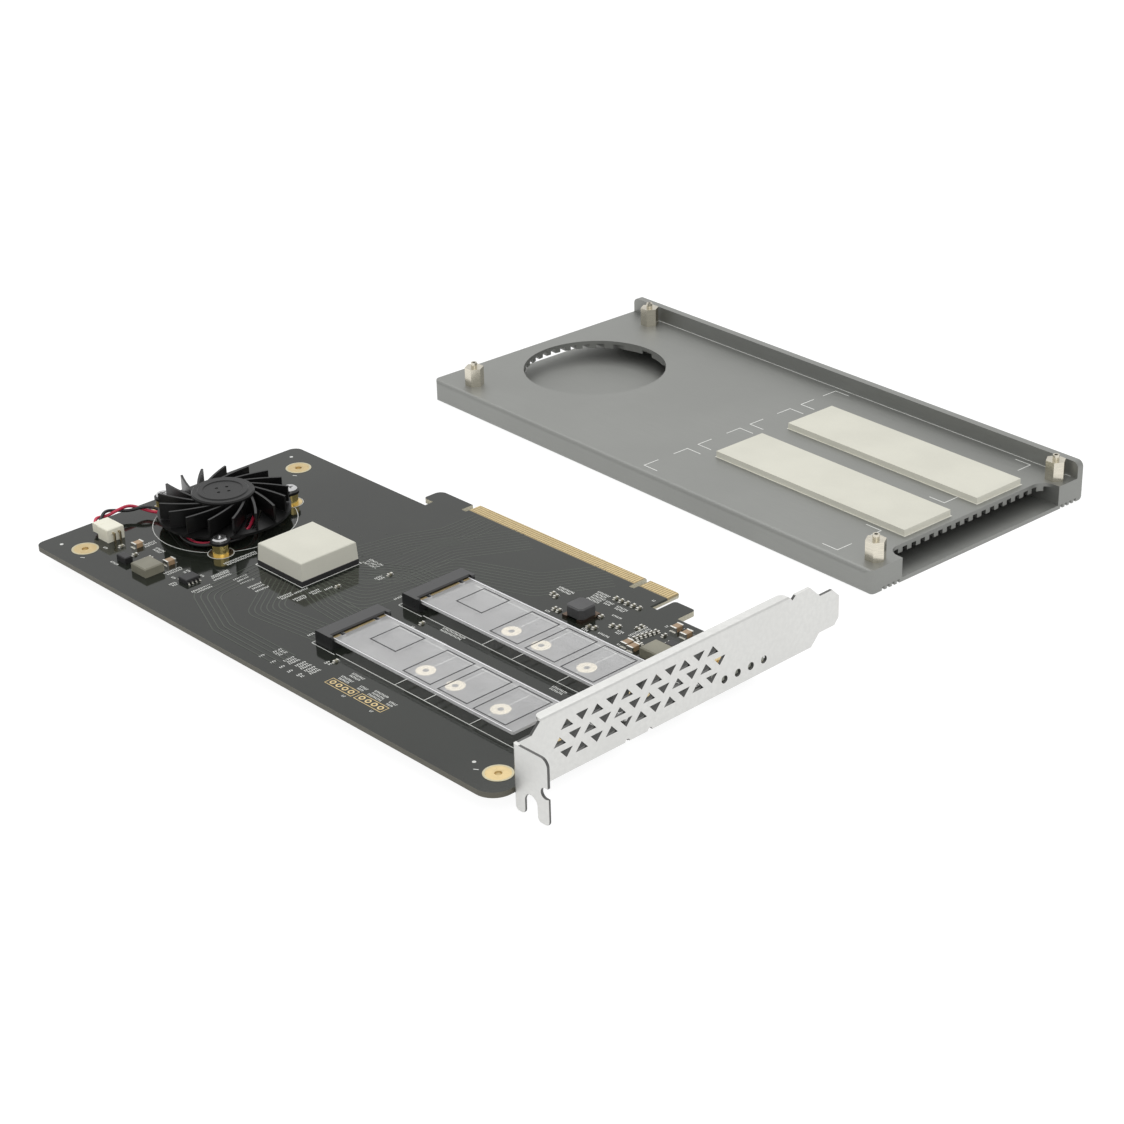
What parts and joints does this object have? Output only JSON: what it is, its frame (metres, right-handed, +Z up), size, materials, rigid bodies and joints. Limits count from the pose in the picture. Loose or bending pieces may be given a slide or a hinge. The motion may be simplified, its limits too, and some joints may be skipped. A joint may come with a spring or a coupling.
{
  "type": "nvme adapter card",
  "caption": "Slot card for solid-state modules with blower, switch chip and slot bracket, and its finned cover taken off and laid beside it.",
  "frame": {"origin": "middle of the bounding box's underside, on the surface that the cover and the bracket's legs stand on", "axes": "+X along the board towards the slot bracket, +Y in the board's plane towards the edge contacts and the cover, +Z up out of the board's parts side"},
  "size_m": [0.2254, 0.2588, 0.0223],
  "materials": {
    "board": "dark glossy solder resist",
    "gold": "gold plated",
    "bracket_steel": "satin nickel plated",
    "screw_steel": "bright plated",
    "lamp": "pale lens",
    "socket_plastic": "moulded",
    "blank_plastic": "see-through grey",
    "tin": "tinned",
    "chip_plastic": "moulded",
    "gum": "soft cream sheet",
    "brass_post": "turned brass",
    "fan_plastic": "moulded",
    "core": "wound core",
    "magnet": "ferrite",
    "shaft_steel": "ground",
    "motor_laminate": "laminate",
    "red_sleeve": "soft insulation",
    "black_sleeve": "soft insulation",
    "connector_cream": "moulded",
    "coil_grey": "pressed powder",
    "coil_dark": "pressed powder",
    "copper": "bare copper",
    "capacitor_tan": "fired",
    "small_grey": "fired",
    "cover_aluminium": "fine brushed",
    "nickel": "nickel plated"
  },
  "bodies": {
    "card": {"blank_strip_far": "gold", "blank_strip_near": "gold", "bracket": "bracket_steel", "bracket_screws": "screw_steel", "ceramic_capacitors": "capacitor_tan", "coil_far": "coil_grey", "coil_frame": "copper", "coil_middle": "coil_dark", "coil_near": "coil_grey", "corner_pads": "gold", "cover_body": "cover_aluminium", "cover_pad_far": "gum", "cover_pad_near": "gum", "cover_standoffs": "nickel", "diode": "chip_plastic", "edge_contacts": "gold", "fan_base": "fan_plastic", "fan_header": "connector_cream", "fan_lead_black": "black_sleeve", "fan_lead_red": "red_sleeve", "fan_plug": "connector_cream", "fan_posts": "brass_post", "fan_screws": "screw_steel", "fan_stator": "core", "header_pins": "tin", "indicator_lamps": "lamp", "memory_chip": "chip_plastic", "memory_legs": "tin", "module_blank_far": "blank_plastic", "module_blank_near": "blank_plastic", "module_hole_pads": "gold", "module_socket_far": "socket_plastic", "module_socket_near": "socket_plastic", "motor_board": "motor_laminate", "pcb": "board", "power_chip": "chip_plastic", "power_legs": "tin", "small_parts": "small_grey", "socket_tails_far": "tin", "socket_tails_near": "tin", "switch_chip": "chip_plastic", "switch_thermal_pad": "gum", "test_pads": "gold"},
    "impeller": {"fan_impeller": "fan_plastic", "fan_magnet": "magnet", "fan_shaft": "shaft_steel"}
  },
  "joints": [
    {"name": "fan_spin", "type": "hinge", "parent": "card", "child": "impeller", "pos_m": [-0.0764, -0.0798, 0.013], "axis": [0, 0, 1], "continuous": true}
  ]
}
